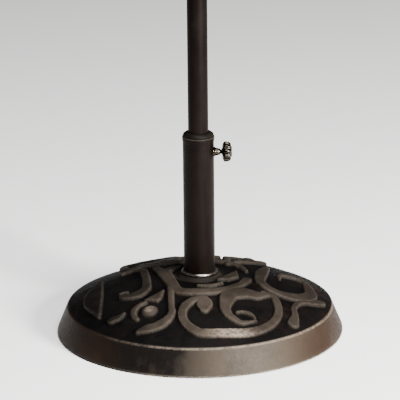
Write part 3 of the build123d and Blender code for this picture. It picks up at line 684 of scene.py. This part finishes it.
def tube_with_screw_hole():
    """The socket tube, its rolled lip and the round hole behind the nut."""
    profile = [
        (TUBE_BORE_R, TUBE_FOOT_Z), (TUBE_R, TUBE_FOOT_Z), (TUBE_R, LIP_FROM_Z), (LIP_R, LIP_FOOT_Z),
        (LIP_R, TUBE_TOP_Z), (26.0, TUBE_TOP_Z), (TUBE_BORE_R, 351.5),
    ]
    tube = turned_piece(
        "tube_shell", profile, [0, 0.6, 8, 3, 0.9, 0.5, 0],
        "base", ["socket_tube"], tube_coat,
    )
    around = 40
    drill_points = np.vstack([ring(SCREW_HOLE_R, along, around) for along in DRILL_ENDS_X])
    drill_faces = [tuple(reversed(range(around))), tuple(range(around, 2 * around))]
    for k in range(around):
        m = (k + 1) % around
        drill_faces.append((k, m, around + m, around + k))
    drill_mesh = bpy.data.meshes.new("drill")
    drill_mesh.from_pydata([tuple(c * MM for c in p) for p in along_x(drill_points)], [], drill_faces)
    drill = bpy.data.objects.new("drill", drill_mesh)
    bpy.context.scene.collection.objects.link(drill)
    cut = tube.modifiers.new("screw_hole", "BOOLEAN")
    cut.operation, cut.solver, cut.object = "DIFFERENCE", "EXACT", drill
    drilled = bpy.data.meshes.new_from_object(tube.evaluated_get(bpy.context.evaluated_depsgraph_get()))
    tube.modifiers.remove(cut)
    tube.data = drilled
    bpy.data.objects.remove(drill)
    drilled.set_sharp_from_angle(angle=radians(35))


def split_collar():
    """The loose collar: a ring with a domed brim and one narrow slot."""
    profile = rounded(
        [
            (18.0, 334.0), (23.2, 334.0), (24.2, 336.0), (24.2, 353.1), (25.3, 353.1), (25.3, 354.6),
            (26.4, 354.6), (26.4, 356.6), (22.6, 359.6), (18.3, 360.5), (17.85, 360.0),
        ],
        [0.4, 0.3, 0.3, 0, 0, 0.2, 0.3, 1.6, 3.0, 0.3, 0.2],
    )
    count = 132
    points, faces, n = [], [], len(profile)
    for radius, height in profile:
        gap = COLLAR_SLOT_HALF / radius
        for k in range(count):
            a = gap + (2 * pi - 2 * gap) * k / (count - 1)
            points.append((radius * cos(a), radius * sin(a), height))
    for i in range(n):
        j = (i + 1) % n
        for k in range(count - 1):
            faces.append((i * count + k, i * count + k + 1, j * count + k + 1, j * count + k))
    faces.append(tuple(i * count for i in range(n)))
    faces.append(tuple(i * count + count - 1 for i in reversed(range(n))))
    piece = new_piece("split_collar", points, faces, "collar", ["reducer_collar"])
    piece.data.materials.append(collar_plastic)


# --- Thumb screw ---
KNOB_PROFILE = [  # along the axis, radius, and how deep the flutes cut there
    (50.0, 4.02, 0), (40.0, 4.02, 0), (39.7, 4.3, 0), (39.7, 4.7, 0), (39.9, 5.6, 0),
    (40.6, 8.6, 0.05), (41.5, 12.0, 0.25), (42.5, 15.0, 0.6), (43.5, 16.9, 0.9), (44.8, 17.8, 1.0),
    (46.5, 18.0, 1.0), (48.5, 17.9, 1.0), (50.6, 17.5, 1.0), (52.6, 16.9, 1.0), (54.3, 16.1, 0.9),
    (55.4, 15.0, 0.6), (56.1, 13.4, 0.25), (56.4, 11.2, 0.05), (56.2, 9.4, 0), (55.8, 9.1, 0),
    (54.5, 9.05, 0),
]
LOBES, FLUTE_DEPTH = 10, 2.3


def knob_piece():
    """Die-cast knob with rounded lobes, dished round its cap."""
    count, points, faces = 240, [], []
    for along, radius, share in KNOB_PROFILE:
        for k in range(count):
            a = 2 * pi * k / count
            flute = ((1 + cos(LOBES * a)) / 2) ** 2.2
            r = radius - FLUTE_DEPTH * share * flute
            points.append((r * cos(a), r * sin(a), along))
    last = len(KNOB_PROFILE) - 1
    for i in range(last):
        for k in range(count):
            m = (k + 1) % count
            faces.append((i * count + k, i * count + m, (i + 1) * count + m, (i + 1) * count + k))
    for first in (0, last * count):
        points.append((0, 0, points[first][2]))
        for k in range(count):
            a, b = first + k, first + (k + 1) % count
            faces.append((len(points) - 1, b, a) if first == 0 else (a, b, len(points) - 1))
    piece = new_piece(
        "fluted_knob", along_x(points), faces, "thumb_screw", ["knob_body"], 50
    )
    piece.data.materials.append(nickel)


def stud_piece():
    """M8 stud with a real helical thread, a plain neck and the pin that holds the nylon tip."""
    pitch, crest, root, around = 1.25, 4.0, 3.4, 48
    rows = [(20.9, 2.3), (21.2, 2.5), (23.85, 2.5), (23.9, 3.2)]
    thread_from, thread_to = 24.3, 39.0
    steps = int((thread_to - thread_from) / pitch * 10)
    points, faces = [], []

    def on_circle(along, radius, k):
        a = 2 * pi * k / around
        return (radius * cos(a), radius * sin(a), along)

    for along, radius in rows:
        points += [on_circle(along, radius, k) for k in range(around)]
    for i in range(steps + 1):
        along = thread_from + (thread_to - thread_from) * i / steps
        run_out = min(1, (along - thread_from) / pitch, (thread_to - along) / pitch)
        for k in range(around):
            phase = (along / pitch - k / around) % 1
            tooth = min(1, max(0, 1.25 - abs(2 * phase - 1) * 2.0))
            radius = root + (crest - root) * tooth * run_out
            points.append(on_circle(along, radius, k))
    for along, radius in ((39.3, 3.6), (39.6, 3.95), (49.6, 3.95), (49.9, 3.6)):
        points += [on_circle(along, radius, k) for k in range(around)]
    total = len(points) // around
    for i in range(total - 1):
        for k in range(around):
            m = (k + 1) % around
            first, second = i * around, (i + 1) * around
            faces.append((first + k, first + m, second + m, second + k))
    faces.append(tuple(reversed(range(around))))
    faces.append(tuple(range((total - 1) * around, total * around)))
    piece = new_piece(
        "threaded_stud", along_x(points), faces, "thumb_screw", ["screw_stud"], 40
    )
    piece.data.materials.append(nickel)


def nut_piece():
    """Threaded boss whose back follows the tube, with a bead of weld round its foot."""
    count, points, faces = 72, [], []
    profile = [  # radius, and how far it stands off the tube; None is inside the tube's wall
        (STUD_BORE_R, None), (9.0, None), (8.6, 0.9), (7.8, 1.7), (7.2, 2.3), (7.0, 3.2), (6.3, 6.0),
        (5.5, 9.2), (5.0, 10.7), (4.6, 11.0), (4.3, 11.0), (STUD_BORE_R, 10.6),
    ]
    for radius, rise in profile:
        for k in range(count):
            a = 2 * pi * k / count
            y, z = radius * sin(a), radius * cos(a)
            seat = sqrt(max(0, TUBE_R**2 - y * y))
            if rise is None:
                x = seat - 0.3
            elif rise > 2:
                x = max(seat - 0.1, TUBE_R + rise)
            else:
                x = seat + rise + 0.18 * sin(15 * a)  # with the ripples of the weld
            points.append((x, y, SCREW_Z + z))
    n = len(profile)
    for i in range(n):
        j = (i + 1) % n
        for k in range(count):
            m = (k + 1) % count
            faces.append((i * count + k, j * count + k, j * count + m, i * count + m))
    piece = new_piece("welded_boss", points, faces, "base", ["weld_nut"])
    piece.data.materials.append(nickel)


# --- The whole object ---
casting_piece()
tube_with_screw_hole()
turned_piece(
    "foot_ring",
    [
        (SOCKET_R, BOSS_TOP_Z), (FOOT_RING_R, BOSS_TOP_Z), (FOOT_RING_R, BOSS_TOP_Z + FOOT_RING_H),
        (SOCKET_R, BOSS_TOP_Z + FOOT_RING_H),
    ],
    [0, 2.2, 2.6, 0.5], "base", ["foot_collar"], bright_bronze,
)
split_collar()
turned_piece(
    "pole_shaft",
    [
        (POLE_BORE_R, POLE_FOOT_Z), (POLE_R, POLE_FOOT_Z), (POLE_R, POLE_TOP_Z),
        (POLE_BORE_R, POLE_TOP_Z),
    ],
    [0.3, 0.4, 0.5, 0.3], "pole", ["pole_tube"], brown_steel,
)
knob_piece()
stud_piece()
nut_piece()
CAD_MATERIALS = {
    "tube_end_plug": bare_steel, "anchor_bolt": zinc, "lock_washer": zinc, "anchor_washer": zinc,
    "centering_bush": black_plastic, "pole_foot_plug": black_plastic, "joint_spigot": zinc,
    "spigot_rivets": zinc, "thrust_pad": natural_nylon, "knob_cap": nickel, "foot_pads": rubber,
    "foot_pad_screws": zinc,
}
for node, material in CAD_MATERIALS.items():
    for material_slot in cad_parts[node].material_slots:
        material_slot.material = material


# --- Floor, lights and camera ---
def area_light(name, place, aim, size, watts, colour=(1, 1, 1)):
    """A soft square light at a place, turned towards a point."""
    data = bpy.data.lights.new(name, "AREA")
    data.energy, data.size, data.color = watts, size, colour
    lamp = bpy.data.objects.new(name, data)
    lamp.location = place
    lamp.rotation_euler = (Vector(aim) - Vector(place)).to_track_quat("-Z", "Y").to_euler()
    bpy.context.scene.collection.objects.link(lamp)


area_light("key", (2.0, -2.35, 1.3), (0, 0, 0.1), 0.9, 480, (1, 0.97, 0.93))
area_light("top", (0.6, -1.1, 3.0), (0, 0, 0), 1.8, 210)
world = bpy.data.worlds.new("studio")
world.use_nodes = True
world.node_tree.nodes["Background"].inputs["Color"].default_value = rgb(1, 1, 1)
world.node_tree.nodes["Background"].inputs["Strength"].default_value = 0.1
bpy.context.scene.world = world

floor_mesh = bpy.data.meshes.new("floor")
floor_mesh.from_pydata([(-8, -8, 0), (8, -8, 0), (8, 8, 0), (-8, 8, 0)], [], [(0, 1, 2, 3)])
floor = bpy.data.objects.new("floor", floor_mesh)
bpy.context.scene.collection.objects.link(floor)
floor_material, floor_shader, _, _ = shader("pale_floor")
floor_shader.inputs["Base Color"].default_value = rgb(0.96, 0.96, 0.96)
floor_shader.inputs["Roughness"].default_value = 0.9
floor.data.materials.append(floor_material)

camera_data = bpy.data.cameras.new("camera")
camera_data.lens, camera_data.sensor_width = 308.4, 36.0
camera_data.clip_end = 100
camera = bpy.data.objects.new("camera", camera_data)
CAMERA_AT, CAMERA_AIM, CAMERA_ROLL = Vector((0, -5.652, 2.013)), Vector((0.002, 0, 0.237)), 0.55
look = (CAMERA_AIM - CAMERA_AT).to_track_quat("-Z", "Y").to_matrix().to_4x4()
camera.matrix_world = Matrix.Translation(CAMERA_AT) @ look @ Matrix.Rotation(radians(-CAMERA_ROLL), 4, "Z")
bpy.context.scene.collection.objects.link(camera)
bpy.context.scene.camera = camera
